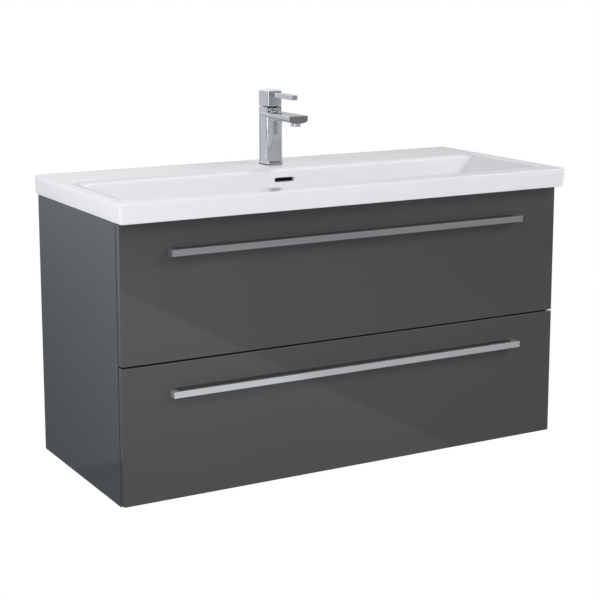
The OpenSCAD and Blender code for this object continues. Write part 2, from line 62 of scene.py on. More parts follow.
class Shader:
    """A Principled material with helpers for procedural detail in object coordinates."""

    def __init__(self, name, rough, metallic=0.0, ior=1.5):
        self.m = bpy.data.materials.new(name)
        self.m.use_nodes = True
        self.tree = self.m.node_tree
        self.bsdf = self.tree.nodes["Principled BSDF"]
        self.set(Roughness=rough, Metallic=metallic, IOR=ior)
        self.coord = self.tree.nodes.new("ShaderNodeTexCoord").outputs["Object"]
        self.last_normal = None
        self.m.diffuse_color = (0.6, 0.6, 0.6, 1)

    def set(self, **values):
        for k, v in values.items():
            self.bsdf.inputs[k.replace("_", " ")].default_value = v

    def link(self, a, b):
        self.tree.links.new(a, b)

    def stretched(self, stretch):
        """Object coordinates, scaled by stretch along x, y and z where it is given."""
        if stretch is None:
            return self.coord
        n = self.tree.nodes.new("ShaderNodeMapping")
        n.inputs["Scale"].default_value = stretch
        self.link(self.coord, n.inputs["Vector"])
        return n.outputs["Vector"]

    def noise(self, scale, detail=3.0, stretch=None):
        n = self.tree.nodes.new("ShaderNodeTexNoise")
        n.inputs["Scale"].default_value = scale
        n.inputs["Detail"].default_value = detail
        self.link(self.stretched(stretch), n.inputs["Vector"])
        return n.outputs[0]

    def cells(self, scale, feature="F1"):
        n = self.tree.nodes.new("ShaderNodeTexVoronoi")
        n.feature = feature
        n.inputs["Scale"].default_value = scale
        self.link(self.coord, n.inputs["Vector"])
        return n.outputs["Distance"]

    def bands(self, scale, distort, detail, stretch, axis):
        n = self.tree.nodes.new("ShaderNodeTexWave")
        n.bands_direction = axis
        n.inputs["Scale"].default_value = scale
        n.inputs["Distortion"].default_value = distort
        n.inputs["Detail"].default_value = detail
        self.link(self.stretched(stretch), n.inputs["Vector"])
        return n.outputs["Fac"]

    def ramp(self, value, stops):
        """Colours at places along value, from the first stop to the last."""
        n = self.tree.nodes.new("ShaderNodeValToRGB")
        e = n.color_ramp.elements
        e[0].position, e[0].color = stops[0][0], (*stops[0][1], 1)
        e[1].position, e[1].color = stops[-1][0], (*stops[-1][1], 1)
        for p, c in stops[1:-1]:
            x = e.new(p)
            x.color = (*c, 1)
        self.link(value, n.inputs["Fac"])
        return n.outputs["Color"]

    def range(self, value, a, b, lo=NOISE_LOW, hi=NOISE_HIGH):
        """The number a where value is lo, running to b where it is hi."""
        n = self.tree.nodes.new("ShaderNodeMapRange")
        n.inputs["From Min"].default_value = lo
        n.inputs["From Max"].default_value = hi
        n.inputs["To Min"].default_value = a
        n.inputs["To Max"].default_value = b
        self.link(value, n.inputs["Value"])
        return n.outputs[0]

    def colour(self, value, base, spread):
        """Base colour that varies by the share spread to either side."""
        a = [c * (1 - spread) for c in base]
        b = [min(1.0, c * (1 + spread)) for c in base]
        stops = [(NOISE_LOW, a), (NOISE_HIGH, b)]
        self.link(self.ramp(value, stops), self.bsdf.inputs["Base Color"])

    def roughness(self, value, a, b):
        self.link(self.range(value, a, b), self.bsdf.inputs["Roughness"])

    def bump(self, height, distance):
        """Adds a relief of the given height in metres to what is there already."""
        n = self.tree.nodes.new("ShaderNodeBump")
        n.inputs["Strength"].default_value = 1.0
        n.inputs["Distance"].default_value = distance
        self.link(height, n.inputs["Height"])
        if self.last_normal is not None:
            self.link(self.last_normal, n.inputs["Normal"])
        self.last_normal = n.outputs["Normal"]
        self.link(self.last_normal, self.bsdf.inputs["Normal"])


def make_materials():
    out = {}

    s = Shader("lacquer_front", 0.04, ior=1.65)
    s.colour(s.noise(2.2, 4), (0.0555, 0.0565, 0.0555), 0.03)
    s.roughness(s.noise(9, 5), 0.010, 0.022)
    s.bump(s.noise(170, 2), 0.000002)
    s.bump(s.noise(6, 1), 0.00002)
    out["lacquer_front"] = s.m

    s = Shader("carcass_board", 0.05)
    s.colour(s.noise(2.6, 4), (0.0560, 0.0640, 0.0690), 0.04)
    s.roughness(s.noise(11, 5), 0.02, 0.04)
    s.bump(s.noise(240, 2), 0.000004)
    out["carcass_board"] = s.m

    s = Shader("inner_board", 0.42)
    s.colour(s.noise(900, 2, stretch=(0.12, 1, 1)), (0.285, 0.297, 0.305), 0.07)
    s.roughness(s.noise(60, 4), 0.36, 0.5)
    s.bump(s.noise(1500, 2, stretch=(0.1, 1, 1)), 0.00002)
    s.bump(s.noise(1100, 2, stretch=(1, 0.1, 1)), 0.00001)
    out["inner_board"] = s.m

    s = Shader("beech", 0.55)
    grain = s.bands(60, 5.0, 3.0, (0.08, 1, 1), "Z")
    browns = [(0.1, (0.50, 0.33, 0.17)), (0.6, (0.62, 0.44, 0.25)), (0.95, (0.68, 0.5, 0.3))]
    s.link(s.ramp(grain, browns), s.bsdf.inputs["Base Color"])
    s.bump(s.noise(900, 3, stretch=(0.05, 1, 1)), 0.00003)
    out["beech"] = s.m

    # painted reflection: the upper bar's colour is painted darker than the lower one's, standing in for
    # the dimmer surroundings it mirrors; both have a faint cool tint
    s = Shader("handle_metal", 0.16, metallic=0.78)
    place_in_part = s.tree.nodes.new("ShaderNodeSeparateXYZ")
    s.link(s.coord, place_in_part.inputs[0])
    # painted reflection: the base colour falls from the lower bar's height to the upper bar's
    height = s.range(place_in_part.outputs["Z"], 0.0, 1.0, 0.25, 0.45)
    painted_reflection_tone = s.ramp(height, [(0.0, (0.74,) * 3), (1.0, (0.43,) * 3)])
    cool = s.ramp(s.noise(5, 3), [(NOISE_LOW, (0.97, 0.98, 1.0)), (NOISE_HIGH, (1.0, 1.0, 1.0))])
    tint_and_painted_reflection = s.tree.nodes.new("ShaderNodeMix")
    tint_and_painted_reflection.data_type, tint_and_painted_reflection.blend_type = "RGBA", "MULTIPLY"
    tint_and_painted_reflection.inputs["Factor"].default_value = 1.0
    s.link(painted_reflection_tone, tint_and_painted_reflection.inputs[6])
    s.link(cool, tint_and_painted_reflection.inputs[7])
    s.link(tint_and_painted_reflection.outputs[2], s.bsdf.inputs["Base Color"])
    s.roughness(s.noise(420, 3, stretch=(0.02, 1, 1)), 0.07, 0.12)
    s.bump(s.noise(2600, 2, stretch=(0.012, 1, 1)), 0.0000016)
    out["handle_metal"] = s.m

    s = Shader("steel_side", 0.4)
    s.colour(s.noise(30, 4), (0.33, 0.345, 0.355), 0.035)
    s.roughness(s.noise(80, 3), 0.34, 0.46)
    s.bump(s.noise(1400, 2), 0.00002)
    s.bump(s.cells(650, "SMOOTH_F1"), 0.00001)
    out["steel_side"] = s.m

    s = Shader("zinc_steel", 0.3, metallic=1.0)
    spangle = [(0.0, (0.60, 0.62, 0.66)), (0.5, (0.68, 0.69, 0.70)), (1.0, (0.55, 0.58, 0.62))]
    s.link(s.ramp(s.cells(120), spangle), s.bsdf.inputs["Base Color"])
    s.roughness(s.noise(140, 4), 0.24, 0.4)
    s.bump(s.noise(1500, 3, stretch=(1, 0.05, 1)), 0.000006)
    out["zinc_steel"] = s.m

    s = Shader("chrome", 0.06, metallic=1.0)
    s.colour(s.noise(26, 3), (0.64, 0.65, 0.675), 0.02)
    s.roughness(s.noise(60, 4), 0.035, 0.085)
    s.bump(s.noise(70, 2), 0.000006)
    out["chrome"] = s.m

    s = Shader("ceramic", 0.1)
    s.colour(s.noise(7, 4), (0.835, 0.843, 0.857), 0.012)
    s.roughness(s.noise(16, 4), 0.07, 0.14)
    s.bump(s.noise(22, 2), 0.00006)
    s.bump(s.noise(260, 2), 0.0000035)
    s.set(Coat_Weight=0.25, Coat_Roughness=0.05)
    out["ceramic"] = s.m

    s = Shader("bare_ceramic", 0.6)
    s.colour(s.noise(40, 5), (0.74, 0.735, 0.72), 0.05)
    s.roughness(s.noise(90, 4), 0.5, 0.75)
    s.bump(s.noise(420, 4), 0.00008)
    out["bare_ceramic"] = s.m

    s = Shader("rubber_black", 0.6)
    s.colour(s.noise(120, 4), (0.018, 0.018, 0.02), 0.2)
    s.roughness(s.noise(200, 3), 0.5, 0.7)
    s.bump(s.noise(1800, 3), 0.00003)
    out["rubber_black"] = s.m

    for name, base in (
        ("grey_plastic", (0.262, 0.272, 0.28)),
        ("dark_plastic", (0.033, 0.036, 0.04)),
        ("white_plastic", (0.74, 0.735, 0.70)),
    ):
        s = Shader(name, 0.42)
        s.colour(s.noise(18, 3), base, 0.03)
        s.roughness(s.noise(70, 3), 0.36, 0.5)
        s.bump(s.cells(1100, "SMOOTH_F1"), 0.00002)
        s.bump(s.noise(2200, 3), 0.00001)
        out[name] = s.m

    s = Shader("clear_bumper", 0.2, ior=1.45)
    s.colour(s.noise(150, 3), (0.68, 0.71, 0.71), 0.03)
    s.roughness(s.noise(200, 3), 0.15, 0.3)
    s.bump(s.noise(700, 2), 0.00001)
    s.set(Transmission_Weight=0.55)
    out["clear_bumper"] = s.m

    s = Shader("brass", 0.24, metallic=1.0)
    s.colour(s.noise(90, 4), (0.72, 0.52, 0.24), 0.06)
    s.roughness(s.noise(300, 3), 0.18, 0.34)
    s.bump(s.noise(2400, 2, stretch=(1, 1, 0.05)), 0.000008)
    out["brass"] = s.m

    return out


MATS = make_materials()


# ------------------------------------------------------------------ mesh helpers
def place(name, mesh, node, mats=None, weighted=True, angle=38):
    """Makes a piece from a mesh, in place of the CAD node and on the same body. Edges sharper
    than angle in degrees stay sharp in the shading."""
    obj = bpy.data.objects.new(name, mesh)
    bpy.context.scene.collection.objects.link(obj)
    for m in mats or [MATS[SLOT[node]]]:
        mesh.materials.append(m)
    mesh.polygons.foreach_set("use_smooth", [True] * len(mesh.polygons))
    mesh.set_sharp_from_angle(angle=math.radians(angle))
    if weighted:
        w = obj.modifiers.new("even_normals", "WEIGHTED_NORMAL")
        w.keep_sharp = True
        w.weight = 100
    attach(obj, BODY[node])
    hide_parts(node)


def mesh_of(bm, name):
    me = bpy.data.meshes.new(name)
    bm.to_mesh(me)
    bm.free()
    return me


def bevel(bm, edges, width, segments, **options):
    bmesh.ops.bevel(
        bm, geom=edges, offset=width, offset_type="OFFSET", segments=segments, profile=0.5,
        affect="EDGES", **options,
    )


def rounded(mesh, name, width, segments, angle, merge=3e-6, flat=0.3):
    """A copy of a mesh with the edges sharper than angle rounded. Points closer than merge are
    joined first, and so are faces that differ by less than flat degrees."""
    bm = bmesh.new()
    bm.from_mesh(mesh)
    bmesh.ops.remove_doubles(bm, verts=bm.verts, dist=merge)
    bmesh.ops.dissolve_limit(bm, angle_limit=math.radians(flat), verts=bm.verts, edges=bm.edges)
    sharp = [
        e for e in bm.edges if e.is_manifold and abs(e.calc_face_angle_signed(0.0)) >= math.radians(angle)
    ]
    if sharp:
        bevel(bm, sharp, width, segments, clamp_overlap=True, miter_outer="ARC")
    return mesh_of(bm, name)


def rounded_box(bm, lo, hi, r, segments):
    """Adds a box with rounded edges to bm."""
    made = bmesh.ops.create_cube(bm, size=1.0)["verts"]
    lo, hi = Vector(lo), Vector(hi)
    for v in made:
        v.co = Vector(((v.co[i] + 0.5) * (hi[i] - lo[i]) + lo[i]) for i in range(3))
    bevel(bm, list({e for v in made for e in v.link_edges}), r, segments)


def rod(bm, centre, r, h, steps):
    """Adds an upright rod of radius r and height h that stands on centre."""
    c = Vector(centre)
    bottom = bm.verts.new(c)
    circle = [
        (r * math.cos(t), r * math.sin(t)) for t in (2 * math.pi * i / steps for i in range(steps))
    ]
    low = [bm.verts.new(c + Vector((x, y, 0))) for x, y in circle]
    high = [bm.verts.new(c + Vector((x, y, h))) for x, y in circle]
    top = bm.verts.new(c + Vector((0, 0, h)))
    for i in range(steps):
        j = (i + 1) % steps
        bm.faces.new((bottom, low[i], low[j]))
    for i in range(steps):
        j = (i + 1) % steps
        bm.faces.new((low[i], high[i], high[j], low[j]))
    for i in range(steps):
        j = (i + 1) % steps
        bm.faces.new((high[i], top, high[j]))


def cut(mesh, cutters, name, operation="DIFFERENCE"):
    """Exact boolean of a mesh with a list of cutter meshes, done at once."""
    obj = bpy.data.objects.new(name + "_work", mesh)
    bpy.context.scene.collection.objects.link(obj)
    tools = []
    for i, c in enumerate(cutters):
        t = bpy.data.objects.new(f"{name}_tool{i}", c)
        bpy.context.scene.collection.objects.link(t)
        tools.append(t)
        b = obj.modifiers.new(f"b{i}", "BOOLEAN")
        b.operation = operation
        b.solver = "EXACT"
        b.object = t
    dg = bpy.context.evaluated_depsgraph_get()
    made = bpy.data.meshes.new_from_object(obj.evaluated_get(dg))
    made.name = name
    for o in [obj] + tools:
        me = o.data
        bpy.data.objects.remove(o)
        bpy.data.meshes.remove(me)
    return made


def solid(build, name="tool"):
    bm = bmesh.new()
    build(bm)
    bmesh.ops.recalc_face_normals(bm, faces=bm.faces)
    return mesh_of(bm, name)


def box_tool(lo, hi):
    return solid(lambda bm: rounded_box(bm, lo, hi, 1e-5, 1))


def rod_tool(centre, r, h, steps=96):
    return solid(lambda bm: rod(bm, centre, r, h, steps))


# ------------------------------------------------------------------ washbasin
# millimetres; depths are below the deck, slopes are depth over distance
BOWL_END, BOWL_FRONT, BOWL_REAR = 481.0, -403.5, -134.0     # where the lips start
BOWL_DEPTH = 100.0
DRAIN_Y = -262.0
END_WALL = dict(lip=14.0, upper=0.86, knee=41.0, lower=0.44, blend=10.0)
FRONT_WALL = dict(lip=9.0, upper=3.0, knee=42.0, lower=2.1, blend=8.0)
REAR_WALL = dict(lip=22.0, upper=3.4, knee=46.0, lower=1.9, blend=8.0)
LIP_SLOPE = 0.3             # the lips start with a crisp change to this slope
CORNER_R, EDGE_R = 5.0, 3.2             # outer corners in plan and top edge
RIM_BOTTOM = 538.0
SKIN_INSET = 3.7            # the underside's grid is this much smaller all round
FRONT_RIM, REAR_RIM, END_RIM = 10.0, 14.0, 9.6          # widths of the flat underside
SHELL, DECK_THICK = 11.0, 15.0
DUCT_HALF, DUCT_DEPTH = 34.0, 18.0      # overflow duct behind the bowl
BOSS_R = 38.0               # round the waste
SLOT_X, SLOT_Z = -10.0, 552.6           # middle of the overflow slot
SLOT_HALF, SLOT_R = 19.3, 4.6
SHAFT_Y, SHAFT_Z = (-147.5, -136.5), (519.0, 557.5)     # hollow behind the slot
SHAFT_HALF = 24.2
DRAIN_R, TAP_HOLE_R = 0.0222, 0.0175     # metres, as every tool below


def smin(a, b, k):
    """The smaller of a and b, with the change from one to the other rounded over k."""
    h = np.clip(0.5 + 0.5 * (b - a) / k, 0, 1)
    return b * (1 - h) + a * h - k * h * (1 - h)


def smax(a, b, k):
    return -smin(-a, -b, k)


def wall(t, lip, upper, knee, lower, blend):
    """Depth below the deck at a distance t inside the start of a lip of radius lip that runs into
    a wall of slope upper and, below the depth knee, of slope lower."""
    ta, tb = (lip * slope / math.hypot(1, slope) for slope in (LIP_SLOPE, upper))
    da, db = (lip - math.sqrt(lip * lip - x * x) for x in (ta, tb))
    arc = lip - np.sqrt(np.maximum(lip * lip - np.clip(t, ta, tb) ** 2, 0))
    d = np.where(t < ta, da + LIP_SLOPE * (t - ta), np.where(t > tb, db + upper * (t - tb), arc))
    at_knee = tb + (knee - db) / upper
    return smin(d, knee + lower * (t - at_knee), blend)


def bowl(x, y, off=0.0, rear_off=0.0):
    """Depth of the bowl below the deck at x, y in mm; off and rear_off grow it outwards."""
    end = wall(BOWL_END - np.abs(x) + off, **END_WALL)
    front = wall(y - BOWL_FRONT + off, **FRONT_WALL)
    rear = wall(BOWL_REAR - y + rear_off, **REAR_WALL)
    d = smin(smin(rear, front, 18.0), end, 20.0)
    from_drain = np.maximum(0, np.hypot(x, y - DRAIN_Y) - 44.0)
    return smin(d, BOWL_DEPTH + off - 0.012 * from_drain, 26.0)


def steps(*spans):
    """Grid lines over spans of (from, to, about how far apart)."""
    out = []
    for a, b, gap in spans:
        n = max(1, int(round(abs(b - a) / gap)))
        out += [a + (b - a) * i / n for i in range(n)]
    return out + [spans[-1][1]]


def basin_skins(half, depth, top, boss_z):
    """Points of the upper and the lower skin of the basin, on grids of the same size. The grid is
    fine where the lips, the walls and the outer edges turn."""
    r = CORNER_R
    xs = steps(
        (0, 30, 3), (30, 60, 4), (60, 290, 11), (290, 440, 7.5), (440, 484, 2), (484, 487.6, 1.8),
        (487.6, 488.6, 0.5), (488.6, half - r, 2), (half - r, half, 0.7),
    )
    xs = sorted(set([-v for v in xs] + xs))
    ys = steps(
        (0, -EDGE_R, 0.4), (-EDGE_R, -r, 1.5), (-r, -14, 3), (-14, -15, 0.5), (-15, -128, 8),
        (-128, -168, 1.4), (-168, -222, 4.5), (-222, -302, 4), (-302, -372, 7), (-372, -396, 3),
        (-396, -414, 1.2), (-414, -432, 4.5), (-432, -433.4, 0.7), (-433.4, -depth + r, 2),
        (-depth + r, -depth, 0.7),
    )
    gx, gy = np.meshgrid(np.array(xs), np.array(ys))

    # the grid is pulled in at the corners, so that they are round in plan
    mid = -depth / 2
    a = np.clip((np.abs(gx) - (half - r)) / r, 0, 1)
    b = np.clip((np.abs(gy - mid) - (depth / 2 - r)) / r, 0, 1)
    corner = (a > 0) & (b > 0)
    pull = np.where(corner, np.maximum(a, b) / np.maximum(np.hypot(a, b), 1e-9), 1.0)
    px = np.where(corner, np.sign(gx) * (half - r + a * pull * r), gx)
    py = np.where(corner, mid + np.sign(gy - mid) * (depth / 2 - r + b * pull * r), gy)
    straight = np.minimum(half - np.abs(px), depth / 2 - np.abs(py - mid))
    edge = np.clip(np.where(corner, r * (1 - np.hypot(a, b) * pull), straight), 0, None)
    round_off = EDGE_R - np.sqrt(np.maximum(EDGE_R ** 2 - (EDGE_R - edge) ** 2, 0))
    round_off = np.where(edge < EDGE_R, round_off, 0)
    d = bowl(px, py)
    z_top = np.where(d < -2.0, top, top - smax(d, 0 * px, 2.0)) - round_off

    # below: hollow under the deck, shell of the bowl with the overflow duct, boss round the waste
    qx, qy = px * (1 - SKIN_INSET / half), py * (1 - SKIN_INSET / depth)
    duct = np.clip((DUCT_HALF - np.abs(qx)) / 5.0, 0, 1)
    shell = bowl(qx, qy, SHELL, SHELL + DUCT_DEPTH * duct)
    z_low = top - smax(shell, DECK_THICK + 0 * qx, 6.0)
    near = np.hypot(qx, qy - DRAIN_Y)
    z_low = np.minimum(z_low, boss_z + np.clip(near - BOSS_R, 0, 60) * 5.0)
    z_low = np.maximum(z_low, boss_z)
    inside = np.minimum(-qy - REAR_RIM, qy + depth - SKIN_INSET - FRONT_RIM)
    inside = np.minimum(half - SKIN_INSET - np.abs(qx) - END_RIM, inside)
    z_low = np.where(inside < 0.05, RIM_BOTTOM, z_low)
    return (px, py, z_top), (qx, qy, z_low)


def slot_tool():
    """The overflow slot as a solid from the bowl back into the shaft."""

    def build(bm):
        outline = []
        for side in (1, -1):
            for i in range(17):
                t = math.radians(-90 + 180 * i / 16)
                x = SLOT_X + side * (SLOT_HALF + SLOT_R * math.cos(t))
                outline.append((x * MM, (SLOT_Z + side * SLOT_R * math.sin(t)) * MM))
        front = [bm.verts.new((x, -0.175, z)) for x, z in outline]
        back = [bm.verts.new((x, -0.1385, z)) for x, z in outline]
        bm.faces.new(front)
        bm.faces.new(back[::-1])
        for i in range(len(outline)):
            j = (i + 1) % len(outline)
            bm.faces.new((front[i], back[i], back[j], front[j]))

    return solid(build)


def basin_mesh():
    """The basin with glaze above (material 0), bare ceramic below (1) and a dark material painted inside
    the overflow as shade (2).
    """
    lo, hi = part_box("washbasin")
    half, depth = hi.x / MM, -lo.y / MM
    upper, lower = basin_skins(half, depth, hi.z / MM, lo.z / MM)
    m, n = upper[0].shape
    verts = [(x[i, j], y[i, j], z[i, j]) for x, y, z in (upper, lower) for i in range(m) for j in range(n)]
    base = m * n
    faces, kinds = [], []
    for i in range(m - 1):
        for j in range(n - 1):
            p, q, r, t = i * n + j, i * n + j + 1, (i + 1) * n + j + 1, (i + 1) * n + j
            faces += [(p, t, r, q), (base + p, base + q, base + r, base + t)]
            kinds += [0, 1]

    # the outer side, from the top edge down to the rounded bottom edge
    loop = list(range(n)) + [i * n + n - 1 for i in range(1, m)]
    loop += [(m - 1) * n + j for j in range(n - 2, -1, -1)] + [i * n for i in range(m - 2, 0, -1)]
    rows = [loop]
    for z, inset in ((565.0, 0.6), (552.0, 1.3), (540.4, 1.95), (539.2, 2.15), (538.4, 2.75)):
        rows.append(list(range(len(verts), len(verts) + len(loop))))
        for k in loop:
            verts.append((verts[k][0] * (1 - inset / half), verts[k][1] * (1 - inset / depth), z))
    rows.append([base + k for k in loop])
    for above, below in zip(rows, rows[1:]):
        for k in range(len(loop)):
            j = (k + 1) % len(loop)
            faces.append((above[k], above[j], below[j], below[k]))
            kinds.append(0)

    me = bpy.data.meshes.new("washbasin_shell")
    me.from_pydata([tuple(c * MM for c in v) for v in verts], [], faces)
    me.polygons.foreach_set("material_index", kinds)
    me.update()
    bm = bmesh.new()
    bm.from_mesh(me)
    bmesh.ops.recalc_face_normals(bm, faces=bm.faces)
    bm.to_mesh(me)
    bm.free()

    drain = rod_tool((0, DRAIN_Y * MM, 0.43), DRAIN_R, 0.2)
    tap_hole = rod_tool((0, TAP_MIDDLE.y, 0.54), TAP_HOLE_R, 0.06)
    shaft_x = (SLOT_X - SHAFT_HALF, SLOT_X + SHAFT_HALF)
    shaft_lo, shaft_hi = (Vector(c) * MM for c in zip(shaft_x, SHAFT_Y, SHAFT_Z))
    shaft = box_tool(shaft_lo, shaft_hi)
    me = cut(me, [drain, tap_hole, slot_tool(), shaft], "washbasin_body")
    slack = 0.0002
    for f in me.polygons:                            # the overflow channel's inside is painted dark, as painted shade for its depth
        if all(a - slack < c < b + slack for a, c, b in zip(shaft_lo, f.center, shaft_hi)):
            f.material_index = 2
    return me


seal_lo, seal_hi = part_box("tap_base_seal")
TAP_MIDDLE = (seal_lo + seal_hi) / 2
place(
    "washbasin_body", basin_mesh(), "washbasin", weighted=False, angle=50,
    mats=[MATS["ceramic"], MATS["bare_ceramic"], MATS["dark_plastic"]],
)


# ------------------------------------------------------------------ tap
TAP_HALF = 21.0             # half width of the column in mm
SPOUT_TOP, SPOUT_SIDE = 688.0, 681.6    # heights of the spout's top and of its sides' lower edge


def tap_outline(grow=0.0):
    """Plan of the upper column and the cap in mm round its middle: crowned front between narrow
    corners, curved flanks, rounded back."""
    flank_r, rear_r, crown = 33.9, 11.0, 1.5
    flank_turn = math.radians(33.1)
    half = TAP_HALF + grow
    left = []
    for i in range(9):                               # flank, front corner to the straight side
        t = flank_turn * (1 - i / 8)
        left.append((-(half - flank_r * (1 - math.cos(t))), -(1.0 + flank_r * math.sin(t) + grow)))
    for i in range(13):                              # rear corner
        t = math.radians(90 * i / 12)
        left.append((-half + rear_r * (1 - math.cos(t)), half - rear_r + rear_r * math.sin(t)))
    right = [(-x, y) for x, y in reversed(left)]
    x0, y0 = left[0]
    across = [i / 9 - 1 for i in range(1, 18)]       # from the right corner to the left one
    front = [(x0 * u, y0 - crown * (1 - u ** 2)) for u in across]
    out = eased(front[-1], left[0], left[1])
    for p in left[1:] + right[:-1]:
        if math.dist(p, out[-1]) > 0.05:
            out.append(p)
    return out + eased(right[-2], right[-1], front[0]) + front


def eased(before, corner, after, reach=1.3):
    """Points that round off a corner of an outline over a short reach to either side."""
    a, c, b = Vector(before), Vector(corner), Vector(after)
    a, b = c + (a - c).normalized() * reach, c + (b - c).normalized() * reach
    return [tuple(a * (1 - t) ** 2 + c * 2 * t * (1 - t) + b * t * t) for t in (0, 0.25, 0.5, 0.75, 1)]


def soft_outline(grow=0.0):
    """Plan of the column below the spout: a square with bowed sides and soft corners."""
    points, power = 96, 4.0
    out = []
    for i in range(points):
        t = 2 * math.pi * (i + 0.5) / points
        c, q = math.cos(t), math.sin(t)
        r = (TAP_HALF + grow) / (abs(c) ** power + abs(q) ** power) ** (1 / power)
        out.append((-r * c, r * q))
    return out


def loft(bm, rings):
    """Closed solid through rings of equal length; each ring is a list of points."""
    made = [[bm.verts.new(p) for p in ring] for ring in rings]
    n = len(made[0])
    for a, b in zip(made, made[1:]):
        for i in range(n):
            j = (i + 1) % n
            bm.faces.new((a[i], a[j], b[j], b[i]))
    bm.faces.new(made[0][::-1])
    bm.faces.new(made[-1])


def in_metres(points):
    return [tuple(c * MM for c in p) for p in points]


def column_mesh(levels, outline):
    """Solid through the outline at each (height, growth) of levels, round the tap's middle."""
    y0 = TAP_MIDDLE.y / MM
    rings = [in_metres((x, y + y0, z) for x, y in outline(grow)) for z, grow in levels]
    return solid(lambda bm: loft(bm, rings), "column")


def under_fillet(y0):
    """Hollow-rounded filling between the front of the column and the underside of the spout."""
    r, root, low = 11.0, y0 - 17.0, 666.0
    front, high = root - 14.0, 679.5
    profile = [(root, high), (front, high)]
    for i in range(9):
        t = math.radians(90 * i / 8)
        profile.append((front + r * math.sin(t), low + r * math.cos(t)))
    profile.append((root, low))
    rings = [in_metres((x, y, z) for y, z in profile) for x in (-17.5, -9, 0, 9, 17.5)]
    return solid(lambda bm: loft(bm, rings), "fillet")


def spout_mesh(tip, root):
    """Slab with a flat top, slim sides and a boat-shaped underside; the tip is slightly bowed."""
    edge_r, bow, fullness = 1.0, 1.6, 0.72

    def section(y, half, keel, bow):
        right = []
        for i in range(5):                           # top edge
            t = math.radians(90 * i / 4)
            right.append((half + edge_r * (math.sin(t) - 1), SPOUT_TOP + edge_r * (math.cos(t) - 1)))
        for i in range(15):                          # side, turning under into the keel
            t = math.radians(88 * i / 14)
            drop = (SPOUT_SIDE - keel) * math.sin(t) ** fullness
            right.append((half * math.cos(t) ** fullness, SPOUT_SIDE - drop))
        whole = right + [(0.0, keel)] + [(-x, z) for x, z in reversed(right)]
        return in_metres((x, y + bow * (x / half) ** 2, z) for x, z in whole)

    rings = [
        section(root + (tip - root) * f, 22.5 - 0.25 * f, 677.0 - 4.6 * f ** 0.8, bow * f)
        for f in (0.0, 0.12, 0.3, 0.5, 0.7, 0.86, 0.95, 0.985)
    ]
    rings.append(section(tip + 0.35, 22.05, 672.7, bow))
    rings.append(section(tip, 21.5, 673.3, bow))
    return solid(lambda bm: loft(bm, rings), "spout")


def finish_tap_body():
    lo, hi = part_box("tap_body")
    y0 = TAP_MIDDLE.y / MM
    z0, z1 = lo.z / MM, hi.z / MM
    tip = lo.y / MM
    foot = ((0, 0.3), (0.3, 0.6), (1.2, 0.75), (2.6, 0.6), (5.0, 0.3), (9, 0.1))
    straight = ((16, 0.0), (60, 0.0), (104.0, 0.0))
    lower = column_mesh([(z0 + h, grow) for h, grow in foot + straight], soft_outline)
    upper = column_mesh([(680.0, 0.0), (z1 - 0.7, 0.0), (z1 - 0.2, -0.2), (z1, -0.6)], tap_outline)
    me = cut(lower, [upper, spout_mesh(tip, y0 + 2), under_fillet(y0)], "tap_body_work", "UNION")

    cartridge_seat = rod_tool((0, TAP_MIDDLE.y, (z0 + 113.2) * MM), 0.0166, 0.03)
    notch = box_tool((-0.0168, (y0 - 24.5) * MM, 0.68803), (0.0168, (y0 - 9.0) * MM, 0.715))
    aerator_seat = rod_tool((0, (tip + 13) * MM, 0.660), 0.0106, 0.0235)
    waterway = rod_tool((0, TAP_MIDDLE.y, 0.650), 0.0131, 0.06)
    inlets = [rod_tool((x, (y0 - 5) * MM, 0.57), 0.0045, 0.022, 48) for x in (-0.009, 0.009)]
    stud_hole = rod_tool((0, (y0 + 11) * MM, 0.57), 0.0041, 0.026, 48)
    tools = [cartridge_seat, notch, aerator_seat, waterway, *inlets, stud_hole]
    me = cut(me, tools, "tap_body_cut")
    place("tap_body_shell", rounded(me, "tap_body_shell", 0.0005, 2, 30), "tap_body", angle=30)
    bpy.data.meshes.remove(me)


def lever_cap(c0, c1):
    """Cap of the tap between the heights c0 and c1, with a slightly domed top."""
    dome_r = 120.0
    y0 = TAP_MIDDLE.y / MM
    sides = ((c0, -0.5), (c0 + 0.25, -0.15), (c0 + 0.8, 0.0), (c0 + 16, 0.0), (c0 + 30.2, 0.0))
    rings = [in_metres((x, y + y0, z) for x, y in tap_outline(grow)) for z, grow in sides]
    rim = tap_outline()

    def dome(x, y):
        return c1 - 0.6 - (dome_r - math.sqrt(max(dome_r ** 2 - x * x - y * y, 0)))

    for f, drop in ((1.0, 1.1), (0.992, 0.45), (0.975, 0.12), (0.95, 0), (0.8, 0), (0.55, 0), (0.25, 0)):
        rings.append(in_metres((x * f, y * f + y0, dome(x * f, y * f) - drop) for x, y in rim))
    return solid(lambda bm: loft(bm, rings), "cap")


def lever_bar(root, tip):
    """Slim bar with rounded edges that thins a little towards its tip."""
    edge_r = 0.9
    rings = []
    for y, half, low, high in (
        (root, 6.5, 720.6, 730.0), (root - 52, 6.4, 720.0, 729.8), (tip + 0.8, 6.2, 719.5, 729.5),
        (tip + 0.2, 5.9, 719.8, 729.2), (tip, 5.4, 720.4, 728.7),
    ):
        ring = []
        for sx, sz in ((1, 1), (-1, 1), (-1, -1), (1, -1)):
            for i in range(4):
                t = math.radians(90 * i / 3)
                up, out = math.sin(t), math.cos(t)
                if sx * sz < 0:
                    up, out = out, up
                z = high - edge_r if sz > 0 else low + edge_r
                ring.append((sx * (half - edge_r) + sx * edge_r * out, y, z + sz * edge_r * up))
        rings.append(in_metres(ring))
    return solid(lambda bm: loft(bm, rings), "bar")


